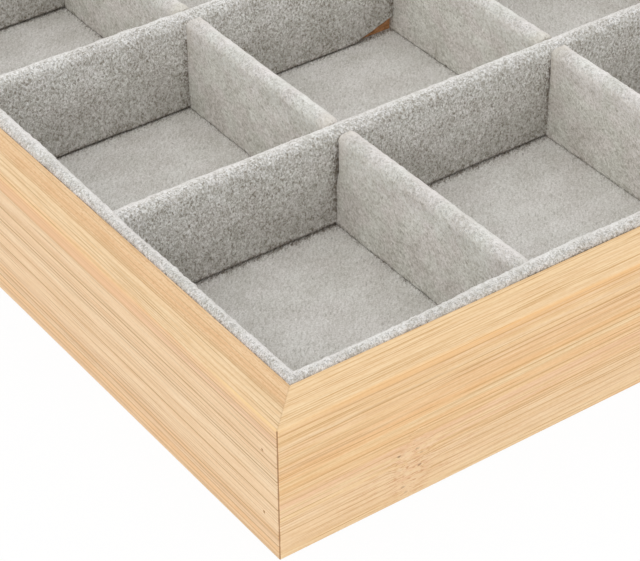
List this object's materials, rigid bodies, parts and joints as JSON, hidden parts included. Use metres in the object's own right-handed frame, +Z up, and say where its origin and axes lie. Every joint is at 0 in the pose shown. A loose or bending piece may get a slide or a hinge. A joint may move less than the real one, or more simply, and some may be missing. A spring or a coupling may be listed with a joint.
{
  "type": "jewelry tray",
  "caption": "Flat bamboo jewelry tray lined in grey velvet, split into open square compartments by slotted dividers that lift out.",
  "frame": {"origin": "middle of the tray's underside, on the surface it stands on", "axes": "+X along the long side, +Y towards the back, +Z up; the pictured corner is at -X, -Y"},
  "size_m": [0.35, 0.25, 0.0297],
  "materials": {
    "bamboo": "satin",
    "grey_velvet": "matt",
    "brown_board": "matt",
    "base_ply": "matt",
    "pin_steel": "satin"
  },
  "bodies": {
    "tray": {"front_rail": "bamboo", "right_rail": "bamboo", "back_rail": "bamboo", "left_rail": "bamboo", "corner_pins": "pin_steel", "base_panel": "base_ply", "floor_board": "brown_board", "floor_cloth": "grey_velvet", "front_liner_board": "brown_board", "right_liner_board": "brown_board", "back_liner_board": "brown_board", "left_liner_board": "brown_board", "front_liner_cloth": "grey_velvet", "right_liner_cloth": "grey_velvet", "back_liner_cloth": "grey_velvet", "left_liner_cloth": "grey_velvet"},
    "divider_grid": {"cross_divider_1_core": "brown_board", "cross_divider_1_cloth": "grey_velvet", "cross_divider_2_core": "brown_board", "cross_divider_2_cloth": "grey_velvet", "cross_divider_3_core": "brown_board", "cross_divider_3_cloth": "grey_velvet", "cross_divider_4_core": "brown_board", "cross_divider_4_cloth": "grey_velvet", "cross_divider_5_core": "brown_board", "cross_divider_5_cloth": "grey_velvet"},
    "front_divider": {"front_divider_core": "brown_board", "front_divider_cloth": "grey_velvet"},
    "middle_divider": {"middle_divider_core": "brown_board", "middle_divider_cloth": "grey_velvet"},
    "rear_divider": {"rear_divider_core": "brown_board", "rear_divider_cloth": "grey_velvet"}
  },
  "joints": [
    {"name": "grid_lift", "type": "slide", "parent": "tray", "child": "divider_grid", "axis": [0, 0, 1], "range_m": [0, 0.04]},
    {"name": "front_divider_lift", "type": "slide", "parent": "divider_grid", "child": "front_divider", "axis": [0, 0, 1], "range_m": [0, 0.03]},
    {"name": "middle_divider_lift", "type": "slide", "parent": "divider_grid", "child": "middle_divider", "axis": [0, 0, 1], "range_m": [0, 0.03]},
    {"name": "rear_divider_lift", "type": "slide", "parent": "divider_grid", "child": "rear_divider", "axis": [0, 0, 1], "range_m": [0, 0.03]}
  ]
}
